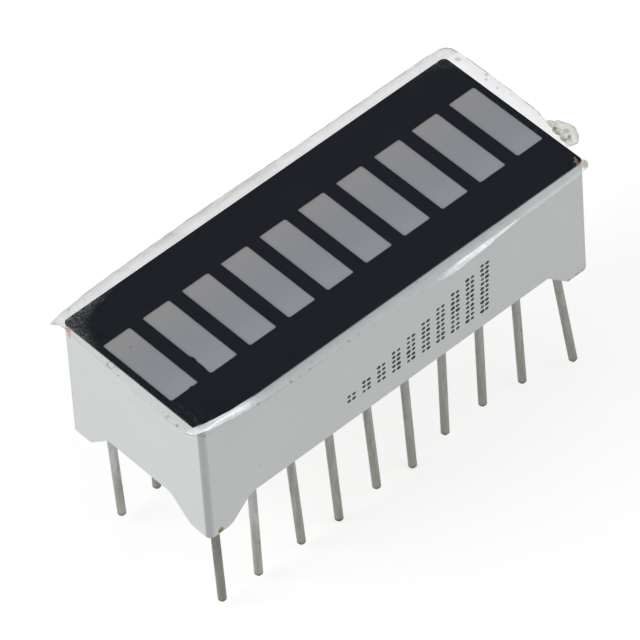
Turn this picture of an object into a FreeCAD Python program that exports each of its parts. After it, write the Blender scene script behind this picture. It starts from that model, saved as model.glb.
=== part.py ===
import FreeCAD, Part
import math
import os

from FreeCAD import Vector

# Ten-segment light bar in a dual-in-line body. Lengths in mm, angles in degrees.
# The feet stand on z = 0, +Z is the way the bars shine, +X runs along the row of bars,
# and the origin is the middle of the twenty-pin grid.

# Pin grid and body
BAR_COUNT = 10
PITCH = 2.54
END_GAP = 0.05
ROW_SPACING = 7.62
ROW_INSET = 1.24
FOOT_HEIGHT = 1.25
WALL_HEIGHT = 6.50
DRAFT = 0.008
CORNER_RADIUS = 0.32
SHELL_WALL = 0.60
INNER_CORNER_RADIUS = 0.20

# Corner feet, and how far the cutting shapes run past what they cut
FOOT_FLAT = 1.43
FOOT_SLOPE = 1.35
MARKED_FOOT_ROUND = 0.80
CUT_MARGIN = 1.00

# Face print and windows
MASK_THICKNESS = 0.05
WINDOW_WIDTH = 1.74
WINDOW_LENGTH = 5.02
WINDOW_RADIUS = 0.12
PRINT_OVERLAP = 0.10

# Reflector pockets, from the board up to the windows
POCKET_FLOOR_WIDTH = 1.00
POCKET_FLOOR_LENGTH = 1.90
POCKET_WAIST_WIDTH = 1.35
POCKET_WAIST_LENGTH = 3.40
POCKET_WAIST_HEIGHT = 1.60
REFLECTOR_WALL = 0.50
FACE_PLATE = 1.00
RIB = 0.60
PINS_PER_CHANNEL = 2

# Circuit board
BOARD_THICKNESS = 0.80
BOARD_FIT = 0.08
COPPER = 0.035
DIE_LAND = 0.60
WIRE_LAND = 0.45
LAND_GAP = 0.12

# Resin poured into the back
FILL_RECESS = 0.05
FILL_DEPTH = 1.00

# Light-emitting dies and their bond wires
DIE_SIZE = 0.30
DIE_HEIGHT = 0.20
BOND_WIRE = 0.03
BOND_LOOP_HEIGHT = 0.20
BOND_LOOP_LEAN = 0.10

# Pins: round wire that stands a little way through the board. MITRED is the sweep's
# way of turning a corner.
PIN_RADIUS = 0.23
PIN_STUB = 0.45
PIN_HOLE_FIT = 0.02
PIN_TIP_LENGTH = 0.17
PIN_TIP_RADIUS = 0.11
PIN_BEND_DEPTH = 0.30
KNOCKED_PIN = 10
KNOCKED_PIN_BEND_HEIGHT = 1.00
MITRED = 1

# Each pin's reach below the feet, its lean along the row and its lean across it.
# Pins 1 to 10 go along the near row, 11 to 20 come back along the far row.
PIN_SHAPES = [
    (6.90, 1.1, 0.0),
    (6.95, 0.0, 0.0),
    (6.95, 2.9, 0.0),
    (7.25, 2.7, 0.0),
    (6.90, 3.2, 0.0),
    (7.30, 2.2, 0.0),
    (6.60, 0.0, 0.0),
    (6.50, 0.6, 0.0),
    (6.95, 2.4, 0.0),
    (6.90, 4.2, -5.7),
    (6.95, 0.8, 0.9),
    (7.05, 0.0, 0.6),
    (6.85, -0.7, 0.0),
    (7.00, 0.9, 1.1),
    (7.10, 0.0, 0.0),
    (6.80, -0.5, 0.7),
    (6.90, 0.6, 0.0),
    (7.00, 1.2, 0.5),
    (6.65, 0.0, 0.0),
    (6.80, 1.7, 0.0),
]

# Clear film stuck over the face. Its outline is given by how far each point lies beyond
# the body's edge, from the end or side that the point is nearest to.
FILM_THICKNESS = 0.08
LIP_MID_REACH = 0.55
LIP_MID_DROP = 0.25
WAD_LOWER = 0.25
WAD_UPPER = 0.28

# Levels, worked out from the sizes above
BODY_LENGTH = BAR_COUNT * PITCH - END_GAP
BODY_WIDTH = ROW_SPACING + 2 * ROW_INSET
FACE_Z = FOOT_HEIGHT + WALL_HEIGHT
SHELL_TOP_Z = FACE_Z - MASK_THICKNESS
FILL_Z = FOOT_HEIGHT + FILL_RECESS
BOARD_BOTTOM_Z = FILL_Z + FILL_DEPTH
BOARD_TOP_Z = BOARD_BOTTOM_Z + BOARD_THICKNESS
CHANNEL_TOP_Z = FACE_Z - FACE_PLATE
LAND_Z = BOARD_TOP_Z + COPPER
DIE_TOP_Z = LAND_Z + DIE_HEIGHT

# Places of the die and of its wire's foot across each bar
DIE_Y = (DIE_LAND + LAND_GAP) / 2
WIRE_Y = -(WIRE_LAND + LAND_GAP) / 2


def bar_x(index):
    """Middle of a bar, counted from 0 at the -X end."""
    return (index - (BAR_COUNT - 1) / 2) * PITCH


def half_length(z):
    """Half the body's length at a height: the walls widen towards the feet."""
    return BODY_LENGTH / 2 + DRAFT * (FACE_Z - z)


def half_width(z):
    """Half the body's width at a height."""
    return BODY_WIDTH / 2 + DRAFT * (FACE_Z - z)


def box(x_low, x_high, y_low, y_high, z_low, z_high):
    """Box between the given limits."""
    return Part.makeBox(x_high - x_low, y_high - y_low, z_high - z_low, Vector(x_low, y_low, z_low))


def rounded_wire(corners, radii):
    """Closed wire through the corners, each rounded by its own radius (0 leaves it sharp)."""
    arcs = []
    for index, corner in enumerate(corners):
        back = (corners[index - 1] - corner).normalize()
        ahead = (corners[(index + 1) % len(corners)] - corner).normalize()
        if radii[index] == 0:
            arcs.append((corner, None, corner))
            continue
        half_angle = back.getAngle(ahead) / 2
        tangent = radii[index] / math.tan(half_angle)
        inward = (back + ahead).normalize()
        middle = corner + inward * (radii[index] / math.sin(half_angle) - radii[index])
        arcs.append((corner + back * tangent, middle, corner + ahead * tangent))
    edges = []
    for index, (start, middle, end) in enumerate(arcs):
        if middle is not None:
            edges.append(Part.Arc(start, middle, end).toShape())
        edges.append(Part.makeLine(end, arcs[(index + 1) % len(arcs)][0]))
    return Part.Wire(edges)


def rounded_rectangle(half_x, half_y, radius, z, x=0.0):
    """Rounded rectangle at a height, centred on x along the row."""
    corners = [
        Vector(x - half_x, -half_y, z),
        Vector(x + half_x, -half_y, z),
        Vector(x + half_x, half_y, z),
        Vector(x - half_x, half_y, z),
    ]
    return rounded_wire(corners, [radius] * 4)


def body_block(z_low, z_high, inset, radius):
    """Drafted block that follows the body's outside, moved in by inset."""
    sections = [
        rounded_rectangle(half_length(z) - inset, half_width(z) - inset, radius, z)
        for z in (z_low, z_high)
    ]
    return Part.makeLoft(sections, True, True)


def prism(wire, rise):
    """Straight prism on a flat wire, along +Z."""
    return Part.Face(wire).extrude(Vector(0, 0, rise))


def pocket_levels():
    """Height, half width and half length of a reflector pocket, from the board up."""
    return [
        (BOARD_TOP_Z, POCKET_FLOOR_WIDTH / 2, POCKET_FLOOR_LENGTH / 2),
        (BOARD_TOP_Z + POCKET_WAIST_HEIGHT, POCKET_WAIST_WIDTH / 2, POCKET_WAIST_LENGTH / 2),
        (SHELL_TOP_Z, WINDOW_WIDTH / 2 + PRINT_OVERLAP, WINDOW_LENGTH / 2 + PRINT_OVERLAP),
    ]


def tapered_stage(x, low, high):
    """Flat-sided taper between two levels, each a height, a half width and a half length."""
    wedge = Part.makeWedge(
        x - low[1], low[0], -low[2], -high[2], x - high[1], x + low[1], high[0], low[2], high[2], x + high[1]
    )
    wedge.rotate(Vector(), Vector(1, 0, 0), 90)
    return wedge


def reflector_pocket(x):
    """Space inside one reflector: two tapered stages that open towards the window."""
    floor, waist, top = pocket_levels()
    return tapered_stage(x, floor, waist).fuse(tapered_stage(x, waist, top))


def channel_profile(side):
    """Section across a side channel: it leaves one wall thickness around the reflectors."""
    floor, waist, top = pocket_levels()
    share = (CHANNEL_TOP_Z - waist[0]) / (top[0] - waist[0])
    half_at_ceiling = waist[2] + share * (top[2] - waist[2])
    outside = half_width(0) + CUT_MARGIN
    points = [
        (floor[2] + REFLECTOR_WALL, floor[0]),
        (waist[2] + REFLECTOR_WALL, waist[0]),
        (half_at_ceiling + REFLECTOR_WALL, CHANNEL_TOP_Z),
        (outside, CHANNEL_TOP_Z),
        (outside, floor[0]),
    ]
    return [(side * y, z) for y, z in points]


def side_channels():
    """Hollows beside the reflectors, two pins long, with a rib between neighbours."""
    core = body_block(BOARD_TOP_Z, CHANNEL_TOP_Z, SHELL_WALL, INNER_CORNER_RADIUS)
    run = PINS_PER_CHANNEL * PITCH
    channels = []
    for side in (-1, 1):
        for index in range(math.ceil(BAR_COUNT / PINS_PER_CHANNEL)):
            start = bar_x(0) - PITCH / 2 + index * run + RIB / 2
            corners = [Vector(start, y, z) for y, z in channel_profile(side)]
            face = Part.Face(Part.makePolygon(corners + corners[:1]))
            channels.append(core.common(face.extrude(Vector(run - RIB, 0, 0))))
    return channels


def foot_gap(half_run, first_round):
    """Outline of the gap between two feet along a wall, as (run, height) corners and radii.

    The first foot's two bends take first_round, the others stay sharp.
    """
    flat_end = half_run - FOOT_FLAT
    slope_end = flat_end - FOOT_SLOPE
    below = half_run + CUT_MARGIN
    corners = [
        (-below, 0),
        (-flat_end, 0),
        (-slope_end, FOOT_HEIGHT),
        (slope_end, FOOT_HEIGHT),
        (flat_end, 0),
        (below, 0),
        (below, -CUT_MARGIN),
        (-below, -CUT_MARGIN),
    ]
    return corners, [0, first_round, first_round, 0, 0, 0, 0, 0]


def foot_gaps():
    """Cuts that leave the four feet; the foot beside pin 1 is rounded, the rest are sharp."""
    cuts = []
    for side, first_round in ((-1, MARKED_FOOT_ROUND), (1, 0)):
        corners, radii = foot_gap(half_length(0), first_round)
        along = rounded_wire([Vector(u, 0, z) for u, z in corners], radii)
        cuts.append(Part.Face(along).extrude(Vector(0, side * (half_width(0) + CUT_MARGIN), 0)))
        corners, radii = foot_gap(half_width(0), first_round)
        across = rounded_wire([Vector(0, u, z) for u, z in corners], radii)
        cuts.append(Part.Face(across).extrude(Vector(side * (half_length(0) + CUT_MARGIN), 0, 0)))
    return cuts


def make_housing():
    """White moulded shell: drafted walls, reflector pockets, side channels and feet."""
    shell = body_block(0, SHELL_TOP_Z, 0, CORNER_RADIUS)
    hollows = [body_block(-CUT_MARGIN, BOARD_TOP_Z, SHELL_WALL, INNER_CORNER_RADIUS)]
    hollows += side_channels()
    hollows += [reflector_pocket(bar_x(index)) for index in range(BAR_COUNT)]
    hollows += foot_gaps()
    return shell.cut(hollows)


def make_face_mask():
    """Black printed layer over the whole face, with one window for each bar."""
    layer = body_block(SHELL_TOP_Z, FACE_Z, 0, CORNER_RADIUS)
    windows = []
    for index in range(BAR_COUNT):
        outline = rounded_rectangle(
            WINDOW_WIDTH / 2, WINDOW_LENGTH / 2, WINDOW_RADIUS, SHELL_TOP_Z - CUT_MARGIN, bar_x(index)
        )
        windows.append(prism(outline, 2 * CUT_MARGIN + MASK_THICKNESS))
    return layer.cut(windows)


def pin_place(number):
    """Grid position of a pin: the near row runs to +X, the far row comes back."""
    if number <= BAR_COUNT:
        return bar_x(number - 1), -ROW_SPACING / 2
    return bar_x(2 * BAR_COUNT - number), ROW_SPACING / 2


def pin_places():
    """Grid positions of all pins in their numbered order."""
    return [pin_place(number) for number in range(1, 2 * BAR_COUNT + 1)]


def upright(x, y, radius, z_low, z_high):
    """Vertical round rod between two heights."""
    return Part.makeCylinder(radius, z_high - z_low, Vector(x, y, z_low))


def board_lands():
    """Copper on top of the board: a die land and a wire land in each pocket."""
    lands = []
    for index in range(BAR_COUNT):
        x = bar_x(index)
        for size, y in ((DIE_LAND, DIE_Y), (WIRE_LAND, WIRE_Y)):
            lands.append(box(x - size / 2, x + size / 2, y - size / 2, y + size / 2, BOARD_TOP_Z, LAND_Z))
    return lands


def make_circuit_board():
    """Board with its copper, drilled for the pins."""
    edge = SHELL_WALL + BOARD_FIT
    outline = rounded_rectangle(
        half_length(BOARD_TOP_Z) - edge, half_width(BOARD_TOP_Z) - edge, INNER_CORNER_RADIUS, BOARD_BOTTOM_Z
    )
    laminate = prism(outline, BOARD_THICKNESS)
    holes = [
        upright(x, y, PIN_RADIUS + PIN_HOLE_FIT, BOARD_BOTTOM_Z - CUT_MARGIN, BOARD_TOP_Z + CUT_MARGIN)
        for x, y in pin_places()
    ]
    return laminate.fuse(board_lands()).cut(holes)


def make_die(x):
    """Die on its land."""
    half = DIE_SIZE / 2
    return box(x - half, x + half, DIE_Y - half, DIE_Y + half, LAND_Z, DIE_TOP_Z)


def make_bond_wire(x):
    """Fine wire of square section that arches from its land over to the top of the die."""
    half = BOND_WIRE / 2
    crest = DIE_TOP_Z + BOND_LOOP_HEIGHT
    profile = [
        (WIRE_Y - half, LAND_Z),
        (WIRE_Y - half + BOND_LOOP_LEAN, crest),
        (DIE_Y + half - BOND_LOOP_LEAN, crest),
        (DIE_Y + half, DIE_TOP_Z),
        (DIE_Y - half, DIE_TOP_Z),
        (DIE_Y - half - BOND_LOOP_LEAN, crest - BOND_WIRE),
        (WIRE_Y + half + BOND_LOOP_LEAN, crest - BOND_WIRE),
        (WIRE_Y + half, LAND_Z),
    ]
    corners = [Vector(x - half, y, z) for y, z in profile]
    return Part.Face(Part.makePolygon(corners + corners[:1])).extrude(Vector(BOND_WIRE, 0, 0))


def make_bar_fill(x, die, bond_wire, board):
    """Diffusing resin that fills a pocket, cast around what stands in it."""
    return reflector_pocket(x).cut([die, bond_wire, board])


def tip_point(bend, reach, lean_along, lean_across):
    """Middle of a pin's tip, where the leaning wire comes down to its reach."""
    drop = bend.z + reach
    return Vector(
        bend.x + drop * math.tan(math.radians(lean_along)),
        bend.y + drop * math.tan(math.radians(lean_across)),
        -reach,
    )


def make_pin(number):
    """One pin: bare leg that leans from its bend, and shank up through resin and board."""
    x, y = pin_place(number)
    reach, lean_along, lean_across = PIN_SHAPES[(number - 1) % len(PIN_SHAPES)]
    bend_z = KNOCKED_PIN_BEND_HEIGHT if number == KNOCKED_PIN else -PIN_BEND_DEPTH
    start = Vector(x, y, FILL_Z)
    bend = Vector(x, y, bend_z)
    tip = tip_point(bend, reach, lean_along, lean_across)
    onward = (tip - bend).normalize()
    shoulder = tip - onward * PIN_TIP_LENGTH
    centre_line = Part.makePolygon([start, bend, shoulder])
    section = Part.Wire(Part.makeCircle(PIN_RADIUS, start, Vector(0, 0, 1)))
    leg = centre_line.makePipeShell([section], True, False, MITRED)
    point = Part.makeCone(PIN_RADIUS, PIN_TIP_RADIUS, PIN_TIP_LENGTH, shoulder, onward)
    shank = upright(x, y, PIN_RADIUS, FILL_Z, BOARD_TOP_Z + PIN_STUB)
    return leg.fuse([point, shank])


def make_back_fill(pins):
    """Resin poured over the back of the board, around the pins, up to the walls."""
    pour = body_block(FILL_Z, BOARD_BOTTOM_Z, SHELL_WALL, INNER_CORNER_RADIUS)
    return pour.cut(pins)


def film_point(end, beyond_end, side, beyond_side):
    """Point on the film: end and side are -1, 0 or 1, and the rest is measured outwards."""
    x = end * BODY_LENGTH / 2 + (end or 1) * beyond_end
    y = side * BODY_WIDTH / 2 + (side or 1) * beyond_side
    return Vector(x, y, FACE_Z)


def curve(points):
    """Smooth edge through the points."""
    spline = Part.BSplineCurve()
    spline.interpolate(points)
    return spline.toShape()


def film_sheet():
    """Flat part of the film: over the face and past its far side and both ends."""
    far_corner = film_point(-1, 0.46, 1, 0.28)
    far_edge = [
        far_corner,
        film_point(-1, -0.55, 1, 0.58),
        film_point(-1, -2.40, 1, 0.80),
        film_point(0, -3.00, 1, 0.80),
        film_point(0, 5.00, 1, 0.65),
        film_point(1, -0.60, 1, 0.64),
    ]
    round_corner = [
        far_edge[-1],
        film_point(1, 0.50, 1, 0.40),
        film_point(1, 0.82, 1, -0.35),
    ]
    end_edge = [
        round_corner[-1],
        film_point(1, 0.85, 0, 1.50),
        film_point(1, 0.76, 0, -0.90),
        film_point(1, 0.60, -1, -3.10),
    ]
    tear = [
        end_edge[-1],
        film_point(1, 0.25, -1, -1.60),
        film_point(1, -0.06, -1, -0.90),
        film_point(1, -0.28, -1, -0.45),
        film_point(1, -0.12, -1, -0.06),
        film_point(1, 0.06, -1, -0.02),
        film_point(1, 0.12, -1, 0.22),
        film_point(1, 0.02, -1, 0.44),
        film_point(1, -0.30, -1, 0.34),
        film_point(1, -0.40, -1, 0.00),
    ]
    near_corner = film_point(-1, 0.20, -1, 0.00)
    near_end_edge = [
        near_corner,
        film_point(-1, 0.55, -1, -1.50),
        film_point(-1, 0.42, 0, -0.60),
        film_point(-1, 0.26, 1, -1.60),
        film_point(-1, 0.16, 1, -0.40),
    ]
    edges = [curve(far_edge), curve(round_corner), curve(end_edge)]
    edges += [Part.makeLine(a, b) for a, b in zip(tear, tear[1:])]
    edges += [Part.makeLine(tear[-1], near_corner), curve(near_end_edge)]
    edges += [Part.makeLine(near_end_edge[-1], far_corner)]
    return prism(Part.Wire(edges), FILM_THICKNESS)


def lip_section(x, reach, drop):
    """Section across the film's lip: it leaves the near edge and bends down to its tip."""
    edge = -BODY_WIDTH / 2
    line = [
        (edge, FACE_Z),
        (edge - LIP_MID_REACH * reach, FACE_Z - LIP_MID_DROP * drop),
        (edge - reach, FACE_Z - drop),
    ]
    upper = [Vector(x, y, z + FILM_THICKNESS) for y, z in line]
    lower = [Vector(x, y, z) for y, z in reversed(line)]
    corners = upper + lower
    return Part.makePolygon(corners + corners[:1])


def film_lip():
    """Lip of the film that curls down along the near side, widest at mid length."""
    stations = [
        (-1, 0.12, 0.03, 0.06),
        (-1, -0.70, 0.06, 0.14),
        (-1, -1.80, 0.20, 0.30),
        (-1, -3.10, 0.33, 0.33),
        (-1, -6.60, 0.50, 0.32),
        (0, -2.50, 0.66, 0.31),
        (0, 3.00, 0.65, 0.32),
        (1, -6.60, 0.55, 0.32),
        (1, -4.60, 0.40, 0.25),
        (1, -2.00, 0.22, 0.15),
        (1, -0.45, 0.10, 0.06),
    ]
    sections = [
        lip_section(film_point(end, beyond, 0, 0).x, reach, drop) for end, beyond, reach, drop in stations
    ]
    return Part.makeLoft(sections, True, True)


def wad_outline(scale, z):
    """Outline of the crumpled corner of the film, shrunk about its middle."""
    rim = [(0.42, 3.35), (0.90, 2.95), (1.26, 2.25), (1.08, 1.55), (0.55, 1.05), (0.12, 1.10), (0.20, 2.10)]
    points = [film_point(1, out, -1, -back) for out, back in rim]
    middle = sum(points, Vector()) * (1 / len(points))
    corners = [middle + (point - middle) * scale + Vector(0, 0, z - FACE_Z) for point in points]
    return Part.makePolygon(corners + corners[:1])


def film_wad():
    """Torn corner of the film, crumpled into a small wad beyond the far end."""
    low = wad_outline(0.55, FACE_Z - WAD_LOWER)
    middle = wad_outline(1.00, FACE_Z + FILM_THICKNESS / 2)
    high = wad_outline(0.50, FACE_Z + WAD_UPPER)
    return Part.makeLoft([low, middle, high], True, True)


def make_cover_film():
    """Clear film: sheet, curled lip and crumpled corner in one piece."""
    return film_sheet().fuse([film_lip(), film_wad()])


def make_parts():
    """All pieces by node name."""
    parts = {"housing": make_housing(), "face_mask": make_face_mask(), "cover_film": make_cover_film()}
    board = make_circuit_board()
    parts["circuit_board"] = board
    for index in range(BAR_COUNT):
        x = bar_x(index)
        die = make_die(x)
        bond_wire = make_bond_wire(x)
        parts[f"led_die_{index + 1:02d}"] = die
        parts[f"bond_wire_{index + 1:02d}"] = bond_wire
        parts[f"bar_fill_{index + 1:02d}"] = make_bar_fill(x, die, bond_wire, board)
    pins = [make_pin(number) for number in range(1, 2 * BAR_COUNT + 1)]
    for number, pin in enumerate(pins, 1):
        parts[f"pin_{number:02d}"] = pin
    parts["back_fill"] = make_back_fill(pins)
    return parts


def main():
    """Build every piece and write one STEP file for each."""
    os.makedirs("parts", exist_ok=True)
    for name, shape in make_parts().items():
        shape.exportStep(f"parts/{name}.step")
        print(name, shape.isValid(), len(shape.Solids), round(shape.Volume, 4))


main()
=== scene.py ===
import logging
import math
from dataclasses import dataclass, replace
from enum import Enum
from functools import reduce
from typing import Iterable, Sequence, Union

import bpy
from mathutils import Euler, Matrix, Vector, noise


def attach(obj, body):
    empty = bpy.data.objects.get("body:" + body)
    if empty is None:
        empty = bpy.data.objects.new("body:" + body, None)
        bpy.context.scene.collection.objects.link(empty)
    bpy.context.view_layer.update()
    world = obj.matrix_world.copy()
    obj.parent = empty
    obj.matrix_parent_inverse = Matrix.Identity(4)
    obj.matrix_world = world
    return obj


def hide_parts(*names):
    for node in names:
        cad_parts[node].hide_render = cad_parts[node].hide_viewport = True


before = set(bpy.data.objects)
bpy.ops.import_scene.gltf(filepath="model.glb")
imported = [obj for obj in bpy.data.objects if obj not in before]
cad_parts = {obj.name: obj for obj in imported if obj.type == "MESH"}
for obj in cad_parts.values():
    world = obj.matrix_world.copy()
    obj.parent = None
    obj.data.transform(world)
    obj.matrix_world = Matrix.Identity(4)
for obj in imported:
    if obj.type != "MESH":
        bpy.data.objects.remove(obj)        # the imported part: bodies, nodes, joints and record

LOG = logging.getLogger("light_bar")
MM = 0.001
FULL_TURN = 2 * math.pi
BODY = "root"

# Sizes of the part in mm
BARS = 10
PITCH = 2.54
ROW_SPACING = 7.62
TOP = 7.75
HALF_LENGTH = 12.675
HALF_WIDTH = 5.05

# Tints of the marks
BLACK = (0.0, 0.0, 0.0)
WHITE = (1.0, 1.0, 1.0)
PINK = (0.66, 0.17, 0.17)
DIRT = (0.09, 0.08, 0.07)
BROWN = (0.28, 0.22, 0.15)
GLUE = (0.16, 0.13, 0.08)
OLIVE = (0.30, 0.28, 0.13)
BARE = (0.30, 0.31, 0.31)

Link = bpy.types.NodeSocket
Material = bpy.types.Material
Object = bpy.types.Object
Value = Union[bpy.types.NodeSocket, float, Sequence[float]]
Fed = tuple[Union[str, int], Value]
Pair = tuple[float, float]
Triple = tuple[float, float, float]
Points = list[Vector]
Faces = list[list[int]]


class Socket(Enum):
    """Kinds of socket that an effect takes in or gives out."""

    NUMBER = "NodeSocketFloat"
    VECTOR = "NodeSocketVector"


class Slot(Enum):
    """Names of material slots of the part's record, passed along with new pieces."""

    PRINT = "black_print"
    FILM = "clear_film"
    BACK = "back_resin"


# Node graphs


class Graph:
    """Adds and joins the nodes of one shader tree."""

    def __init__(self, tree: bpy.types.NodeTree) -> None:
        """Takes the shader tree to work in."""
        self.tree = tree

    def node(self, kind: str, fed: Iterable[Fed] = (), **settings: object) -> bpy.types.Node:
        """Adds a node.

        Args:
            kind: Blender's name of the node's type.
            fed: pairs of an input, by its name or number, and what it gets.
            settings: properties to set on it.

        Returns:
            The new node.
        """
        made = self.tree.nodes.new(kind)
        for name, value in settings.items():
            setattr(made, name, value)
        for key, value in fed:
            self.feed(made.inputs[key], value)
        return made

    def feed(self, socket: Link, value: Value) -> None:
        """Links a socket to another one, or sets its value.

        Args:
            socket: input to feed.
            value: output socket, number, vector, or colour as red, green and blue.
        """
        if isinstance(value, bpy.types.NodeSocket):
            self.tree.links.new(value, socket)
        else:
            socket.default_value = (*value, 1.0) if socket.type == "RGBA" else value

    def number(self, operation: str, *values: Value) -> Link:
        """Result of a sum on numbers, by Blender's name of the operation."""
        return self.node("ShaderNodeMath", enumerate(values), operation=operation).outputs[0]

    def times(self, *values: Value) -> Link:
        """Product of numbers."""
        return reduce(lambda first, second: self.number("MULTIPLY", first, second), values)

    def times_plus(self, first: Value, second: Value, third: Value) -> Link:
        """Product of two numbers, with a third added."""
        return self.number("MULTIPLY_ADD", first, second, third)

    def vector(self, operation: str, *values: Value) -> Link:
        """Result of a sum on vectors: a number for LENGTH and DISTANCE, and else a vector."""
        made = self.node("ShaderNodeVectorMath", enumerate(values), operation=operation)
        return made.outputs["Value" if operation in ("LENGTH", "DISTANCE") else "Vector"]

    def split(self, vector: Value) -> list[Link]:
        """The three numbers of a vector."""
        return list(self.node("ShaderNodeSeparateXYZ", [(0, vector)]).outputs)

    def ramp(self, value: Value, start: Value, end: Value, low: Value = 0.0, high: Value = 1.0) -> Link:
        """Goes smoothly from low to high while a number goes from start to end, and stays between them."""
        fed = enumerate((value, start, end, low, high))
        return self.node("ShaderNodeMapRange", fed, interpolation_type="SMOOTHSTEP").outputs["Result"]

    def blend(self, factor: Value, first: Value, second: Value) -> Link:
        """Mix of two colours, with the share of the second as its factor."""
        fed = ((0, factor), (6, first), (7, second))
        return self.node("ShaderNodeMix", fed, data_type="RGBA").outputs[2]

    def cloud(self, position: Value, scale: Value, detail: float = 2.0, roughness: float = 0.5) -> Link:
        """Noise around 0.5 at a place in mm, with so many features per mm."""
        fed = zip(("Vector", "Scale", "Detail", "Roughness"), (position, scale, detail, roughness))
        return self.node("ShaderNodeTexNoise", fed).outputs[0]

    def seen(self) -> Link:
        """Where the surroundings are seen, directly or in metal or through film.

        Returns:
            1 where they are seen, 0 where they only light the part.
        """
        rays = self.node("ShaderNodeLightPath").outputs
        seen = self.number("ADD", rays["Is Camera Ray"], rays["Is Glossy Ray"])
        return self.number("MINIMUM", self.number("ADD", seen, rays["Is Transmission Ray"]), 1.0)

    def effect(self, name: str, **inputs: Value) -> Link:
        """Output of a shared effect, whose inputs are named with _ for each space."""
        fed = ((label.replace("_", " "), value) for label, value in inputs.items())
        return self.node("ShaderNodeGroup", fed, node_tree=bpy.data.node_groups[name]).outputs[0]


# Shared effects


class Effect(Graph):
    """Node group of one shared effect, with named inputs and one output."""

    def __init__(self, name: str, output: str, vectors: Sequence[str], numbers: Sequence[str]) -> None:
        """Starts a node group.

        Args:
            name: the group's name.
            output: name of its output, a number.
            vectors: names of its vector inputs.
            numbers: names of its number inputs.
        """
        super().__init__(bpy.data.node_groups.new(name, "ShaderNodeTree"))
        add = self.tree.interface.new_socket
        for kind, labels in ((Socket.VECTOR, vectors), (Socket.NUMBER, numbers)):
            for label in labels:
                add(name=label, in_out="INPUT", socket_type=kind.value)
        add(name=output, in_out="OUTPUT", socket_type=Socket.NUMBER.value)
        self.taken = self.node("NodeGroupInput")
        self.given = self.node("NodeGroupOutput")

    def take(self, name: str) -> Link:
        """One of the effect's inputs."""
        return self.taken.outputs[name]

    def give(self, value: Link) -> None:
        """Feeds the effect's output."""
        self.feed(self.given.inputs[0], value)

    def wobble(self, scale: Value, detail: float, roughness: float) -> Link:
        """Noise around 0 at the effect's own place."""
        return self.number("SUBTRACT", self.cloud(self.take("Position"), scale, detail, roughness), 0.5)


def build_stain() -> None:
    """Ragged round patch, such as a smudge or a speck, around a centre."""
    effect = Effect("stain", "Mask", ("Position", "Centre"), ("Radius", "Ragged"))
    radius = effect.take("Radius")
    away = effect.vector("DISTANCE", effect.take("Position"), effect.take("Centre"))
    away = effect.number("DIVIDE", away, radius)
    wobble = effect.wobble(effect.number("DIVIDE", 1.1, radius), 4.0, 0.6)
    away = effect.times_plus(wobble, effect.take("Ragged"), away)
    effect.give(effect.ramp(away, 1.0, 0.5))


def build_specks() -> None:
    """Sparse small round specks."""
    effect = Effect("specks", "Mask", ("Position",), ("Spacing", "Size", "Share"))
    scale = effect.number("DIVIDE", 1.0, effect.take("Spacing"))
    fed = (("Vector", effect.take("Position")), ("Scale", scale))
    cells = effect.node("ShaderNodeTexVoronoi", fed, feature="F1")
    reach = effect.number("DIVIDE", effect.take("Size"), effect.take("Spacing"))
    dot = effect.ramp(cells.outputs["Distance"], reach, effect.times(reach, 0.5))
    kept = effect.number("LESS_THAN", effect.split(cells.outputs["Color"])[0], effect.take("Share"))
    effect.give(effect.times(dot, kept))


def build_mottle() -> None:
    """Soft cloudiness between -1 and 1."""
    effect = Effect("mottle", "Value", ("Position",), ("Scale",))
    cloud = effect.cloud(effect.take("Position"), effect.take("Scale"), 4.0, 0.55)
    effect.give(effect.ramp(cloud, 0.25, 0.75, -1.0, 1.0))


def build_grain() -> None:
    """Fine height of a moulded, printed or drawn surface."""
    effect = Effect("grain", "Height", ("Position",), ("Scale",))
    effect.give(effect.cloud(effect.take("Position"), effect.take("Scale"), 3.0, 0.65))


def build_worn_edges() -> None:
    """Broken wear along the edges of a box around the origin."""
    effect = Effect("worn edges", "Mask", ("Position", "Half Size"), ("Band",))
    offset = effect.vector("ABSOLUTE", effect.take("Position"))
    a, b, c = effect.split(effect.vector("SUBTRACT", effect.take("Half Size"), offset))
    lesser = effect.number("MINIMUM", a, b)
    greater = effect.number("MAXIMUM", a, b)
    second = effect.number("MAXIMUM", lesser, effect.number("MINIMUM", greater, c))
    breaks = effect.wobble(2.5, 5.0, 0.65)
    second = effect.times_plus(breaks, effect.times(effect.take("Band"), 3.0), second)
    effect.give(effect.ramp(second, effect.take("Band"), 0.0))


def build_fine_lines() -> None:
    """Thin broken lines, such as the folds of crushed film."""
    effect = Effect("fine lines", "Mask", ("Position",), ("Scale", "Width"))
    away = effect.number("ABSOLUTE", effect.wobble(effect.take("Scale"), 2.0, 0.5))
    breaks = effect.ramp(effect.cloud(effect.take("Position"), 1.7, 2.0), 0.42, 0.55)
    effect.give(effect.times(effect.ramp(away, effect.take("Width"), 0.0), breaks))


# Finishes


@dataclass(frozen=True)
class Mark:
    """One smudge, speck or dirt patch, in mm in the part's frame."""

    centre: Triple
    radius: float
    tint: Triple
    strength: float = 1.0
    ragged: float = 0.9


Marks = tuple[Mark, ...]


def marked(*rows: tuple) -> Marks:
    """Marks from rows of x, y, z, radius, tint, strength and raggedness."""
    return tuple(Mark(tuple(row[:3]), *row[3:]) for row in rows)


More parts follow.
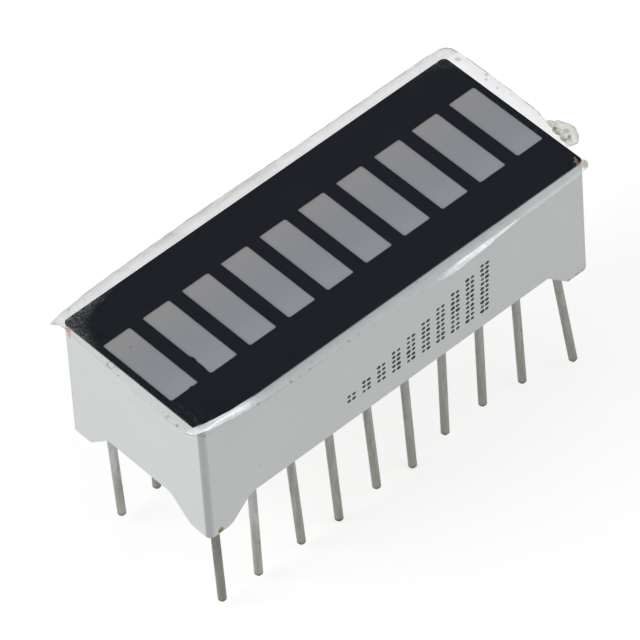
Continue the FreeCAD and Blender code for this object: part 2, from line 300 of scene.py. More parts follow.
class Surface(Graph):
    """Graph of one material, with its shader and its place in mm."""

    def __init__(self, name: str, **constants: Value) -> None:
        """Starts a material.

        Args:
            name: the material's name.
            constants: values of the shader's own sockets, with _ for each space.
        """
        self.material = bpy.data.materials.new(name)
        self.material.use_nodes = True
        super().__init__(self.material.node_tree)
        self.shader = self.tree.nodes["Principled BSDF"]
        for label, value in constants.items():
            self.set(label.replace("_", " "), value)
        self.coordinates = self.node("ShaderNodeTexCoord")
        self.place = self.vector("MULTIPLY", self.coordinates.outputs["Object"], (1 / MM,) * 3)

    def set(self, name: str, value: Value) -> None:
        """Feeds one of the shader's sockets."""
        self.feed(self.shader.inputs[name], value)

    def painted(self, name: str) -> Link:
        """Reads a number that the mesh holds for each of its points."""
        return self.node("ShaderNodeAttribute", attribute_name=name).outputs["Fac"]

    def here(self, name: str, **inputs: Value) -> Link:
        """Places a shared effect at the surface's own place."""
        return self.effect(name, Position=self.place, **inputs)

    def mottled(self, scale: float) -> Link:
        """Soft cloudiness between -1 and 1, with so many clouds per mm."""
        return self.here("mottle", Scale=scale)

    def stretched(self, *factors: float) -> Link:
        """The surface's place, scaled along each axis."""
        return self.vector("MULTIPLY", self.place, factors)

    def laid(self, base: Value, tint: Triple, mask: Value, strength: float) -> Link:
        """Lays a tint over a colour where a mask says, as strongly as a number says."""
        return self.blend(self.times(mask, strength), base, tint)

    def stained(self, base: Value, marks: Iterable[Mark]) -> Link:
        """Lays marks over a colour.

        Args:
            base: the colour under them.
            marks: the marks in order.

        Returns:
            The colour with its marks.
        """
        for mark in marks:
            mask = self.here("stain", Centre=mark.centre, Radius=mark.radius, Ragged=mark.ragged)
            base = self.laid(base, mark.tint, mask, mark.strength)
        return base

    def covered(self, marks: Iterable[Mark]) -> Link:
        """How well marks cover each place."""
        return self.split(self.stained(BLACK, [replace(mark, tint=WHITE) for mark in marks]))[0]

    def speckled(self, base: Value, tint: Triple, spread: Triple, strength: float) -> Link:
        """Lays specks over a colour, with their spacing and size in mm and their share of the places."""
        return self.laid(base, tint, self.specks(*spread), strength)

    def specks(self, spacing: float, size: float, share: float) -> Link:
        """Mask of sparse small round specks."""
        return self.here("specks", Spacing=spacing, Size=size, Share=share)

    def varied(self, first: Triple, second: Triple, scale: float) -> Link:
        """Cloudy mix of two close colours."""
        return self.blend(self.times_plus(self.mottled(scale), 0.5, 0.5), first, second)

    def roughened(self, middle: float, spread: float, scale: float) -> None:
        """Varies the roughness by a spread to either side of its middle."""
        self.set("Roughness", self.times_plus(self.mottled(scale), spread, middle))

    def raised(self, height: Value, depth: float) -> None:
        """Gives the surface a height, with the mm that lie between height 0 and 1."""
        fed = (("Height", height), ("Distance", depth * MM), ("Strength", 1.0))
        self.set("Normal", self.node("ShaderNodeBump", fed).outputs["Normal"])

    def grained(self, scale: float, depth: float) -> None:
        """Gives the surface its fine grain, with so many grains per mm and a depth in mm."""
        self.raised(self.here("grain", Scale=scale), depth)


class MouldedPlastic(Surface):
    """White moulded shell: satin, even, with painted shade round its rounded upright corners, and specks of
    dirt.
    """

    base: Triple = (0.680, 0.708, 0.690)
    cooler: Triple = (0.666, 0.696, 0.681)
    worn: Triple = (0.42, 0.41, 0.37)
    speck: Triple = (0.36, 0.35, 0.32)
    # Painted shade: how dark the rounded upright corners are made.
    corner_shade: float = 0.62
    far_corner_share: float = 0.35
    middle: Triple = (0.0, 0.0, 3.85)
    half_size: Triple = (12.72, 5.09, 3.85)
    marks: Marks = marked(
        (-12.02, -5.07, 0.16, 0.24, (0.3, 0.2, 0.07), 0.95),
        (-12.08, -5.07, 0.1, 0.12, (0.1, 0.07, 0.03), 0.8), (11.38, -5.07, 0.02, 0.18, DIRT, 0.45),
        (11.95, -5.07, 0.02, 0.2, DIRT, 0.5), (12.3, -5.07, 0.06, 0.14, DIRT, 0.5),
        (12.55, -5.05, 0.3, 0.1, DIRT, 0.4), (-12.47, -5.07, 7.4, 0.16, (0.25, 0.2, 0.16), 0.5),
        (-12.1, -5.1, 7.36, 0.1, (0.25, 0.2, 0.16), 0.3), (-9.29, -5.07, 2.7, 0.06, DIRT, 0.6),
        (-12.7, -3.26, 6.85, 0.06, DIRT, 0.5), (-12.7, 0.19, 5.87, 0.1, (0.5, 0.53, 0.46), 0.6),
        (-12.7, 4.64, 7.42, 0.3, PINK, 0.62), (-12.7, 4.6, 7.1, 0.17, PINK, 0.6),
        (-12.7, -2.75, 7.2, 0.12, PINK, 0.3),
    )

    def __init__(self) -> None:
        """Joins the material's nodes."""
        super().__init__("moulded_white_plastic")
        tint = self.varied(self.base, self.cooler, 0.30)
        # Painted shade on the rounded upright corners, weaker at the far ones.
        shaded = self.vector("MULTIPLY", tint, (self.corner_shade,) * 3)
        tint = self.blend(self.turned(), tint, shaded)
        offset = self.vector("SUBTRACT", self.place, self.middle)
        edges = self.effect("worn edges", Position=offset, Half_Size=self.half_size, Band=0.05)
        tint = self.laid(tint, self.worn, edges, 0.12)
        tint = self.speckled(tint, self.speck, (2.1, 0.035, 0.12), 0.6)
        self.set("Base Color", self.stained(tint, self.marks))
        self.roughened(0.50, 0.04, 1.2)
        self.grained(9.0, 0.0025)

    def turned(self) -> Link:
        """How far the wall has turned round an upright corner, with less at the far corners.

        Returns:
            The share of the painted corner shade.
        """
        x, y, _ = self.split(self.place)
        across = self.number("ABSOLUTE", self.split(self.coordinates.outputs["Normal"])[0])
        rising = self.ramp(across, 0.02, 0.95, 0.34, 1.0)
        off_walls = self.times(self.ramp(across, 0.999, 0.985), self.ramp(across, 0.0, 0.06))
        far = self.number("MAXIMUM", self.ramp(x, -1.0, 1.0), self.ramp(y, -1.0, 1.0))
        return self.times(rising, off_walls, self.ramp(far, 0.0, 1.0, 1.0, self.far_corner_share))


class FacePrint(Surface):
    """Black print over the face: deep blue-black satin, chipped along its border."""

    base: Triple = (0.0030, 0.0052, 0.0100)
    lighter: Triple = (0.0050, 0.0070, 0.0120)
    chip: Triple = (0.16, 0.17, 0.17)
    speck: Triple = (0.08, 0.09, 0.10)
    painted_air_sheen: Triple = (0.125, 0.140, 0.137)
    scratch: Triple = (0.13, 0.14, 0.15)
    half_size: Triple = (12.68, 5.055, 0.02)
    marks: Marks = marked(
        (12.47, -4.58, TOP, 0.07, (0.35, 0.27, 0.2), 0.7), (12.42, -4.72, TOP, 0.09, (0.4, 0.3, 0.22), 0.8),
        (12.3, -4.8, TOP, 0.11, (0.33, 0.26, 0.19), 0.5, 0.5),
        (12.36, -4.86, TOP, 0.1, (0.26, 0.17, 0.1), 0.8), (12.28, -5.0, TOP, 0.13, (0.24, 0.15, 0.08), 0.8),
        (12.52, -4.98, TOP, 0.08, (0.33, 0.26, 0.18), 0.6), (-12.3, 5.02, TOP, 0.16, BARE, 0.65, 1.6),
        (-11.62, 5.06, TOP, 0.12, BARE, 0.65, 1.6), (-10.95, 5.06, TOP, 0.1, BARE, 0.65, 1.6),
        (-12.66, 4.3, TOP, 0.14, (0.24, 0.25, 0.25), 0.55, 1.6),
        (12.1, 5.06, TOP, 0.16, (0.22, 0.23, 0.23), 0.6, 1.6),
    )

    def __init__(self) -> None:
        """Joins the material's nodes."""
        super().__init__("black_face_print", Specular_IOR_Level=0.075)
        tint = self.varied(self.base, self.lighter, 0.5)
        offset = self.vector("SUBTRACT", self.place, (0.0, 0.0, TOP))
        edges = self.effect("worn edges", Position=offset, Half_Size=self.half_size, Band=0.03)
        tint = self.laid(tint, self.chip, edges, 0.35)
        tint = self.speckled(tint, self.speck, (1.3, 0.030, 0.16), 0.6)
        # Painted reflection: the silvery sheen of air trapped under the film.
        tint = self.blend(self.air(), tint, self.painted_air_sheen)
        tint = self.laid(tint, self.scratch, self.scratches(), 0.7)
        self.set("Base Color", self.stained(tint, self.marks))
        self.roughened(0.36, 0.06, 2.0)
        self.grained(14.0, 0.0015)

    def air(self) -> Link:
        """Painted reflection of the air trapped under the film: fine silvery ripples at the far corners.

        Returns:
            Its mask.
        """
        x, y, _ = self.split(self.place)
        wave = self.number("SUBTRACT", self.cloud(self.place, 1.3, 3.0), 0.5)
        inward = self.number("SUBTRACT", 5.15, y)
        left = self.times(self.number("ADD", x, 12.80), inward)
        left = self.ramp(self.times_plus(wave, 1.6, left), 1.30, 0.20)
        left = self.times(left, self.ramp(x, -8.9, -10.4), self.ramp(y, 2.4, 3.4))
        right = self.times(self.number("SUBTRACT", 13.0, x), inward)
        right = self.ramp(self.times_plus(wave, 1.1, right), 0.80, 0.10, 0.0, 0.35)
        right = self.times(right, self.ramp(x, 9.8, 11.2))
        bent = self.times(self.cloud(self.place, 2.2, 2.0), 0.9)
        bent = self.vector("ADD", self.stretched(1.5, 1.2, 1.0), bent)
        ripples = self.ramp(self.cloud(bent, 7.5), 0.44, 0.64, 0.16, 1.0)
        return self.times(self.number("MAXIMUM", left, right), ripples)

    def scratches(self) -> Link:
        """Fine scratches beside the near corner.

        Returns:
            Their mask.
        """
        x, y, _ = self.split(self.place)
        area = self.times(self.ramp(x, -11.2, -12.4), self.ramp(y, -2.3, -3.6))
        drawn = self.stretched(1.6, 0.45, 1.0)
        return self.times(area, self.effect("fine lines", Position=drawn, Scale=3.0, Width=0.022))


class DiffusingResin(Surface):
    """Cloudy grey resin in the windows: warmer at the far end, bluer at the near end."""

    far: Triple = (0.333, 0.331, 0.335)
    near: Triple = (0.330, 0.349, 0.378)
    middle: Triple = (0.295, 0.307, 0.334)
    cloudy: Triple = (0.32, 0.31, 0.355)
    speck: Triple = (0.16, 0.16, 0.17)
    half_length: float = 2.5
    marks: Marks = marked(
        (-11.37, 1.51, 7.7, 0.06, (0.12, 0.12, 0.13), 0.8),
        (-11.3, -1.3, 7.7, 0.04, (0.16, 0.16, 0.17), 0.6),
    )

    def __init__(self) -> None:
        """Joins the material's nodes."""
        super().__init__("diffusing_resin", Specular_IOR_Level=0.35)
        along = self.split(self.place)[1]
        tint = self.blend(self.ramp(along, -self.half_length, self.half_length), self.near, self.far)
        centred = self.ramp(self.number("ABSOLUTE", along), self.half_length, 0.4, 0.0, 0.85)
        tint = self.blend(centred, tint, self.middle)
        tint = self.blend(self.ramp(self.mottled(0.55), 0.0, 1.0, 0.0, 0.22), tint, self.cloudy)
        tint = self.speckled(tint, self.speck, (0.9, 0.026, 0.10), 0.5)
        self.set("Base Color", self.stained(tint, self.marks))
        self.roughened(0.36, 0.05, 1.5)
        self.grained(5.0, 0.0015)


class WireTone(Enum):
    """How bright a pin is."""

    DARK = (0.215, 0.215, 0.198)
    PLAIN = (0.375, 0.382, 0.358)
    BRIGHT = (0.510, 0.518, 0.500)


class TinnedWire(Surface):
    """Dull tinned wire: faint drawn streaks, olive bloom towards the tip, a few spots."""

    bloom: Triple = (0.285, 0.280, 0.222)
    tip: Triple = (0.120, 0.105, 0.080)
    speck: Triple = (0.12, 0.11, 0.09)
    shades: Pair = (0.55, 1.18)
    marks: Marks = marked(
        (-7.44, -4.02, 0.96, 0.12, DIRT, 0.8), (-7.36, -4.04, 0.7, 0.08, DIRT, 0.5),
        (-3.54, -3.95, -7.15, 0.3, (0.12, 0.05, 0.02), 0.9), (-11.66, -4.0, -2.0, 0.13, DIRT, 0.6),
        (-11.66, -4.0, -2.5, 0.15, DIRT, 0.7), (-11.64, -4.0, -3.1, 0.13, DIRT, 0.65),
        (-11.3, -4.06, -2.9, 0.07, DIRT, 0.5), (-8.86, -4.04, -4.3, 0.17, DIRT, 0.35),
        (-8.84, -4.04, -3.6, 0.12, DIRT, 0.45), (11.6, -4.1, -0.6, 0.34, OLIVE, 0.6),
        (11.55, -4.12, -1.6, 0.3, OLIVE, 0.55), (11.95, -4.1, -2.2, 0.16, DIRT, 0.55),
        (11.95, -4.12, -3.6, 0.15, DIRT, 0.45), (9.05, -4.02, -2.7, 0.16, DIRT, 0.4),
        (6.55, -4.02, -3.0, 0.2, DIRT, 0.25),
    )

    def __init__(self, tone: WireTone) -> None:
        """Joins the material's nodes.

        Args:
            tone: how bright the pin is.
        """
        super().__init__(f"tinned_wire_{tone.name.lower()}", Metallic=0.45)
        darker, lighter = (tuple(factor * part for part in tone.value) for factor in self.shades)
        drawn = self.stretched(1.0, 1.0, 0.10)
        streaks = self.ramp(self.cloud(drawn, 6.0, 4.0, 0.6), 0.35, 0.68)
        tint = self.laid(tone.value, darker, streaks, 0.60)
        frost = self.cloud(self.place, 9.0, 4.0, 0.7)
        tint = self.blend(self.ramp(frost, 0.42, 0.62, 0.0, 0.45), tint, lighter)
        height = self.split(self.coordinates.outputs["Generated"])[2]
        lower = self.ramp(self.times_plus(self.mottled(0.45), 0.20, height), 0.55, 0.10, 0.0, 0.55)
        tint = self.blend(lower, tint, self.bloom)
        ragged = self.times_plus(frost, 0.03, height)
        tint = self.blend(self.ramp(ragged, 0.056, 0.030, 0.0, 0.70), tint, self.tip)
        tint = self.speckled(tint, self.speck, (0.6, 0.04, 0.10), 0.5)
        self.set("Base Color", self.stained(tint, self.marks))
        self.set("Roughness", self.ramp(streaks, 0.0, 1.0, 0.42, 0.56))
        self.raised(self.cloud(drawn, 10.0, 3.0, 0.6), 0.004)


class ClearFilm(Surface):
    """Clear film: unseen where it lies flat, milky where it hangs over, with a painted highlight and
    painted reflection on its curled lip, and painted shade where the lip bends down.
    """

    milk: Triple = (0.68, 0.68, 0.655)
    glassy: Triple = (0.83, 0.85, 0.865)
    wispy: Triple = (0.60, 0.60, 0.57)
    dusty: Triple = (0.42, 0.38, 0.31)
    cool: Triple = (0.61, 0.65, 0.68)
    # Colour of the painted shade where the lip bends down off the face.
    shaded: Triple = (0.33, 0.36, 0.40)
    # Colour of the painted highlight on the curled lip.
    crease: Triple = (0.93, 0.96, 1.0)
    speck: Triple = (0.30, 0.25, 0.18)
    # Metallic share of the painted highlight, a painted reflection of the white surroundings.
    glint: float = 0.72
    least_alpha: float = 0.002
    most_alpha: float = 0.97
    corner_middle: Triple = (12.355, 4.730, 50.0)
    corner_radius: float = 0.325
    marks: Marks = marked(
        (-12.9, 4.72, TOP, 0.17, PINK, 0.8), (-12.84, 4.45, TOP, 0.22, PINK, 0.7),
        (-13.1, -3.12, TOP, 0.15, PINK, 0.65), (-13.06, -2.75, TOP, 0.1, (0.36, 0.22, 0.18), 0.45),
        (13.05, 4.44, TOP, 0.22, PINK, 0.55), (-13.05, 0.53, TOP, 0.11, DIRT, 0.8),
        (-13.14, -3.87, TOP, 0.11, DIRT, 0.9), (-13.0, 1.1, TOP, 0.08, (0.3, 0.26, 0.2), 0.6),
        (13.38, 2.69, TOP, 0.16, BROWN, 0.7), (13.09, 2.43, TOP, 0.11, BROWN, 0.65),
        (13.07, 1.59, TOP, 0.1, BROWN, 0.65), (13.28, 0.82, TOP, 0.12, BROWN, 0.4),
        (-11.93, 5.41, TOP, 0.1, BROWN, 0.55), (-11.45, 5.71, TOP, 0.09, BROWN, 0.5),
        (-10.96, 5.33, TOP, 0.07, BROWN, 0.45), (-9.3, -5.37, 7.44, 0.12, DIRT, 0.7),
        (-8.1, -5.42, 7.45, 0.08, DIRT, 0.55), (-7.25, -5.45, 7.46, 0.13, GLUE, 0.7),
        (-6.7, -5.47, 7.46, 0.09, GLUE, 0.6), (-6.05, -5.5, 7.46, 0.1, GLUE, 0.6),
        (-5.75, -5.3, 7.62, 0.08, DIRT, 0.55), (-4.5, -5.2, 7.68, 0.09, DIRT, 0.55),
        (-3.52, -5.5, 7.52, 0.1, DIRT, 0.6), (-2.9, -5.56, 7.48, 0.2, PINK, 0.4),
        (1.29, -5.17, 7.7, 0.08, (0.25, 0.22, 0.22), 0.7), (0.04, -5.2, 7.65, 0.06, (0.3, 0.28, 0.25), 0.5),
        (12.55, -5.2, 7.65, 0.34, (0.58, 0.57, 0.48), 0.8),
    )

    def __init__(self) -> None:
        """Joins the material's nodes."""
        super().__init__("clear_film", Roughness=0.22, IOR=1.47)
        tint = self.blend(self.painted("outer"), self.glassy, self.milk)
        wisps = self.mottled(1.4)
        tint = self.blend(self.ramp(wisps, 0.2, 1.0, 0.0, 0.25), tint, self.wispy)
        streaks = self.streaks()
        tint = self.laid(tint, self.dusty, streaks, 0.45)
        tint = self.shade_lip(tint)
        # Painted highlight on the curled lip, laid in as white colour.
        crease = self.painted("crease")
        tint = self.blend(crease, tint, self.crease)
        specks = self.specks(0.5, 0.05, 0.13)
        tint = self.laid(tint, self.speck, specks, 0.75)
        self.set("Base Color", self.stained(tint, self.marks))
        spots = self.times_plus(self.covered(self.marks), 0.35, self.times(specks, 0.25))
        alpha = self.times_plus(self.painted("milk"), self.times_plus(wisps, 0.15, 1.0), spots)
        alpha = self.times(self.times_plus(streaks, 0.10, alpha), self.off_corners())
        # The painted highlight also makes the film opaque where it lies.
        folded = self.number("MAXIMUM", self.times(crease, 0.68), self.painted("cover"))
        alpha = self.number("MAXIMUM", self.number("MAXIMUM", alpha, folded), self.least_alpha)
        self.set("Alpha", self.number("MINIMUM", alpha, self.most_alpha))
        # Painted reflection: where the highlight is painted, the film turns partly metallic and mirrors the
        # white surroundings.
        self.set("Metallic", self.times(crease, self.glint))
        self.raised(self.mottled(1.1), 0.03)

    def streaks(self) -> Link:
        """Dusty streaks along the far side.

        Returns:
            Their mask.
        """
        along, across, _ = self.split(self.place)
        lines = self.ramp(self.cloud(self.stretched(0.45, 1.5, 1.0), 1.6, 4.0, 0.65), 0.50, 0.64)
        outward = self.ramp(self.painted("outer"), 0.55, 1.0)
        side = self.ramp(across, 4.9, 5.3)
        return self.times(lines, outward, side, self.ramp(along, 1.0, 6.0, 1.0, 0.35))

    def shade_lip(self, tint: Link) -> Link:
        """Cools the lip of the near side, and paints shade on it where it bends down off the face.

        Args:
            tint: the film's colour.

        Returns:
            The colour with its shading.
        """
        along, across, _ = self.split(self.place)
        near = self.times(self.ramp(across, -4.95, -5.05), self.ramp(along, -10.8, -8.0))
        cooled = self.times(near, self.ramp(along, 7.0, 9.5, 0.75, 0.20))
        tint = self.blend(cooled, tint, self.cool)
        # Painted shade where the lip bends down off the face.
        hinge = self.times(self.ramp(across, -5.42, -5.10), near)
        hinge = self.times(hinge, self.ramp(along, -1.0, 3.0, 0.8, 0.45))
        hinge = self.times(hinge, self.ramp(along, 7.0, 9.5, 1.0, 0.40))
        return self.blend(hinge, tint, self.shaded)

    def off_corners(self) -> Link:
        """Leaves out the wedges of film that would whiten the body's round corners.

        Returns:
            1 everywhere but inside a round corner.
        """
        corners = self.vector("SUBTRACT", self.vector("ABSOLUTE", self.place), self.corner_middle)
        corners = self.vector("LENGTH", self.vector("MAXIMUM", corners, (0.0, 0.0, 0.0)))
        return self.ramp(corners, self.corner_radius - 0.01, self.corner_radius + 0.01)


class FilmEdge(Surface):
    """Cut edge of the film, with dust and glue caught along it, and paler beside the right corner."""

    clean: Triple = (0.44, 0.42, 0.37)
    dirty: Triple = (0.13, 0.10, 0.07)
    pale: Triple = (0.72, 0.70, 0.63)

    def __init__(self) -> None:
        """Joins the material's nodes."""
        super().__init__("film_edge", Roughness=0.5)
        x, y, _ = self.split(self.place)
        patches = self.ramp(self.cloud(self.place, 1.7, 5.0, 0.7), 0.40, 0.58)
        tint = self.blend(patches, self.clean, self.dirty)
        pale = self.times(self.ramp(y, -5.0, -5.2), self.ramp(x, 7.0, 8.5, 0.0, 0.9))
        self.set("Base Color", self.blend(pale, tint, self.pale))
        least = self.ramp(y, -5.0, -5.2, 0.14, self.ramp(x, -5.5, -3.0, 0.50, 0.12))
        most = self.ramp(y, -5.0, -5.2, 0.92, self.ramp(x, -5.5, -3.0, 0.92, 0.45))
        caught = self.cloud(self.place, 1.1, 4.0, 0.7)
        self.set("Alpha", self.ramp(caught, 0.42, 0.62, least, most))
        self.grained(6.0, 0.01)


class CrumpledFilm(Surface):
    """Film crushed into a wad: milky, wrinkled, with brown glue in its folds."""

    base: Triple = (0.96, 0.965, 0.91)
    shaded: Triple = (0.87, 0.87, 0.80)
    fold: Triple = (0.36, 0.33, 0.26)
    rim: Triple = (0.55, 0.54, 0.49)
    speck: Triple = (0.24, 0.17, 0.10)
    most_alpha: float = 0.96
    marks: Marks = marked(
        (13.06, -2.6, 7.88, 0.23, (0.14, 0.09, 0.05), 0.9, 1.6),
        (12.99, -2.86, 7.85, 0.23, (0.26, 0.21, 0.13), 0.7, 1.8),
        (12.92, -3.14, 7.84, 0.21, (0.34, 0.3, 0.21), 0.6, 2.0),
        (12.88, -3.38, 7.82, 0.23, (0.2, 0.17, 0.12), 0.75, 1.8),
        (13.32, -3.12, 7.94, 0.24, (0.36, 0.34, 0.22), 0.7, 2.0),
        (13.08, -3.56, 7.86, 0.22, (0.42, 0.34, 0.2), 0.65, 1.8),
        (13.2, -3.44, 7.9, 0.14, (0.15, 0.13, 0.1), 0.8, 1.4),
        (13.14, -2.15, 7.82, 0.21, (0.42, 0.4, 0.31), 0.6, 2.0),
    )

    def __init__(self) -> None:
        """Joins the material's nodes."""
        super().__init__("crumpled_film", Roughness=0.20)
        tint = self.varied(self.base, self.shaded, 1.6)
        lines = self.here("fine lines", Scale=2.6, Width=0.045)
        tint = self.laid(tint, self.fold, lines, 0.60)
        rim = self.painted("rim")
        tint = self.laid(tint, self.rim, rim, 0.60)
        tint = self.speckled(tint, self.speck, (0.30, 0.03, 0.14), 0.75)
        self.set("Base Color", self.stained(tint, self.marks))
        alpha = self.times_plus(rim, 0.30, self.ramp(self.mottled(1.9), -1.0, 1.0, 0.34, 0.60))
        alpha = self.number("MAXIMUM", alpha, self.covered(self.marks))
        alpha = self.times_plus(lines, 0.30, alpha)
        self.set("Alpha", self.number("MINIMUM", alpha, self.most_alpha))
        self.grained(4.0, 0.05)


class PouredResin(Surface):
    """Resin poured into the back: pale and cloudy, glossy, with small bubbles."""

    base: Triple = (0.60, 0.60, 0.54)
    cloudy: Triple = (0.52, 0.52, 0.45)
    bubble: Triple = (0.36, 0.35, 0.30)

    def __init__(self) -> None:
        """Joins the material's nodes."""
        super().__init__("poured_resin", Coat_Weight=0.25)
        bubbles = self.specks(0.9, 0.10, 0.20)
        tint = self.varied(self.base, self.cloudy, 0.45)
        self.set("Base Color", self.laid(tint, self.bubble, bubbles, 0.35))
        self.roughened(0.20, 0.05, 0.8)
        self.raised(self.number("SUBTRACT", self.mottled(0.30), bubbles), 0.03)


class BoardLaminate(Surface):
    """Glass laminate of the board: straw-coloured with a fine square weave."""

    warp: Triple = (0.46, 0.43, 0.25)
    weft: Triple = (0.55, 0.52, 0.33)
    threads: float = 2.2

    def __init__(self) -> None:
        """Joins the material's nodes."""
        super().__init__("board_laminate", Roughness=0.45)
        x, y, _ = self.split(self.stretched(*(self.threads * math.pi,) * 3))
        weave = self.times(self.number("SINE", x), self.number("SINE", y))
        weave = self.times_plus(weave, 0.5, 0.5)
        self.set("Base Color", self.blend(weave, self.warp, self.weft))
        self.raised(weave, 0.01)


@dataclass(frozen=True)
class FineFinish:
    """Finish of something tiny: two close colours and a fine surface."""

    name: str
    first: Triple
    second: Triple
    clouds: float
    roughness: Triple
    grain: Pair
    metallic: float = 0.0
    specular: float = 0.5

    def make(self) -> Material:
        """Builds the material.

        Returns:
            The material.
        """
        surface = Surface(self.name, Metallic=self.metallic, Specular_IOR_Level=self.specular)
        surface.set("Base Color", surface.varied(self.first, self.second, self.clouds))
        surface.roughened(*self.roughness)
        surface.grained(*self.grain)
        return surface.material


DIE_CRYSTAL = FineFinish(
    "die_crystal", (0.30, 0.29, 0.24), (0.42, 0.40, 0.34), 6.0, (0.25, 0.05, 8.0), (30.0, 0.001),
    metallic=0.2,
)
GOLD_WIRE = FineFinish(
    "gold_wire", (0.85, 0.62, 0.26), (0.78, 0.55, 0.20), 6.0, (0.25, 0.05, 8.0), (30.0, 0.001),
    metallic=1.0,
)
PRINTED_INK = FineFinish(
    "printed_ink", (0.014, 0.014, 0.016), (0.050, 0.050, 0.053), 5.0, (0.55, 0.08, 6.0), (12.0, 0.003),
    specular=0.25,
)


# Making of meshes


def add_object(name: str, data: bpy.types.ID) -> Object:
    """Puts a new object in the scene.

    Args:
        name: the object's name.
        data: its mesh, light or camera.

    Returns:
        The new object.
    """
    made = bpy.data.objects.new(name, data)
    bpy.context.scene.collection.objects.link(made)
    return made


def make_piece(name: str, points: Points, faces: Faces, slot: Slot, *finishes: Material) -> Object:
    """Makes a smooth mesh piece that rides on the part.

    Args:
        name: the piece's name.
        points: its corners in mm, in the part's frame.
        faces: corner numbers of each face.
        slot: material slot of the record that it belongs to; not used.
        finishes: its materials.

    Returns:
        The new object.
    """
    mesh = bpy.data.meshes.new(name)
    mesh.from_pydata([point * MM for point in points], [], faces)
    mesh.validate()
    for polygon in mesh.polygons:
        polygon.use_smooth = True
    for finish in finishes:
        mesh.materials.append(finish)
    piece = add_object(name, mesh)
    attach(piece, BODY)
    LOG.info("piece %s: %d faces", name, len(faces))
    return piece


def paint_points(piece: Object, name: str, values: Sequence[float]) -> None:
    """Gives each point of a mesh a number that its material reads."""
    piece.data.attributes.new(name, "FLOAT", "POINT").data.foreach_set("value", values)


def dress_node(name: str, material: Material) -> None:
    """Gives a CAD node its finish.

    Args:
        name: the node's name.
        material: its finish.
    """
    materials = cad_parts[name].data.materials
    materials.clear()
    materials.append(material)
    LOG.info("node %s: %s", name, material.name)


def circle(around: int) -> list[Pair]:
    """Directions spaced evenly round a circle, each as its cosine and sine."""
    turns = [FULL_TURN * step / around for step in range(around)]
    return [(math.cos(turn), math.sin(turn)) for turn in turns]


def join_rings(first: int, rings: int, around: int, closed: bool = False) -> Faces:
    """Joins rings of corners to each other.

    Args:
        first: number of the first ring's first corner.
        rings: how many rings follow each other.
        around: corners in each ring.
        closed: whether the last ring joins the first.

    Returns:
        The faces between them.
    """
    faces = []
    for ring in range(rings if closed else rings - 1):
        low, high = first + ring * around, first + (ring + 1) % rings * around
        for step in range(around):
            turned = (step + 1) % around
            faces.append([low + step, high + step, high + turned, low + turned])
    return faces


def add_drop(points: Points, faces: Faces, top: Vector, rings: Sequence[Sequence[Vector]]) -> None:
    """Adds a low closed drop to a mesh.

    Args:
        points: the mesh's corners so far.
        faces: the mesh's faces so far.
        top: the drop's highest point.
        rings: its rings of corners, from the top down.
    """
    first, around = len(points) + 1, len(rings[0])
    last = first + (len(rings) - 1) * around
    points.append(top)
    for ring in rings:
        points.extend(ring)
    faces.extend([first - 1, first + step, first + (step + 1) % around] for step in range(around))
    faces.extend(join_rings(first, len(rings), around))
    faces.append([last + step for step in reversed(range(around))])


def level(stations: Sequence[Sequence[float]], at: float, column: int = 1) -> float:
    """Reads a table of stations, smoothly between them.

    Args:
        stations: rows in rising order of their first value.
        at: where to read.
        column: the value to read.

    Returns:
        That value.
    """
    if at <= stations[0][0]:
        return stations[0][column]
    for low, high in zip(stations, stations[1:]):
        if at <= high[0]:
            share = (at - low[0]) / (high[0] - low[0])
            share = share * share * (3 - 2 * share) * 0.5 + share * 0.5
            return low[column] + (high[column] - low[column]) * share
    return stations[-1][column]


def smooth(value: float, start: float, end: float) -> float:
    """Rises smoothly from 0 at the start to 1 at the end."""
    share = min(max((value - start) / (end - start), 0.0), 1.0)
    return share * share * (3 - 2 * share)


def ripple(x: float, y: float, scale: float, seed: float = 0.0) -> float:
    """Repeatable soft noise between about -1 and 1, with so many ripples per mm."""
    return noise.noise(Vector((x * scale, y * scale, seed)))


# Sub-assemblies


@dataclass
class Shell:
    """White moulded shell."""

    node: str = "housing"
    wall_at_feet: float = 5.112
    draft: float = 0.008

    def dress(self) -> None:
        """Finishes the shell."""
        dress_node(self.node, MouldedPlastic().material)

    def near_wall(self, height: float) -> float:
        """Place of the near wall's outside, as its y in mm, at a height above the feet."""
        return -(self.wall_at_feet - self.draft * height)


@dataclass
class Face:
    """Black printed layer with its windows and the resin bars behind them."""

    recess: float = 0.05
    nick_top: float = 0.004
    nick_edge: float = 0.012
    corners: int = 20
    uneven: float = 0.22
    nicks: tuple[tuple[float, ...], ...] = (
        (-9.78, -1.22, 0.26, 0.115), (-9.78, -1.75, 0.55, 0.070), (-11.02, -2.58, 0.13, 0.20)
    )

    def dress(self) -> None:
        """Finishes the print and the bars."""
        self.print_finish = FacePrint().material
        dress_node("face_mask", self.print_finish)
        resin = DiffusingResin().material
        for number in range(1, BARS + 1):
            dress_node(f"bar_fill_{number:02d}", resin)

    def build_nicks(self) -> None:
        """Builds the small runs of black ink that creep over the windows' edges."""
        points: Points = []
        faces: Faces = []
        for index, (x, y, long, wide) in enumerate(self.nicks):
            edge = []
            for across, along in circle(self.corners):
                swell = 1 + self.uneven * ripple(across * 2 + index, along * 2, 1.0, 3.0)
                edge.append((x + wide * swell * across, y + long * swell * along))
            depths = (self.nick_edge, self.recess)
            rings = [[Vector((*place, TOP - depth)) for place in edge] for depth in depths]
            add_drop(points, faces, Vector((x, y, TOP - self.nick_top)), rings)
        make_piece("print_nicks", points, faces, Slot.PRINT, self.print_finish)


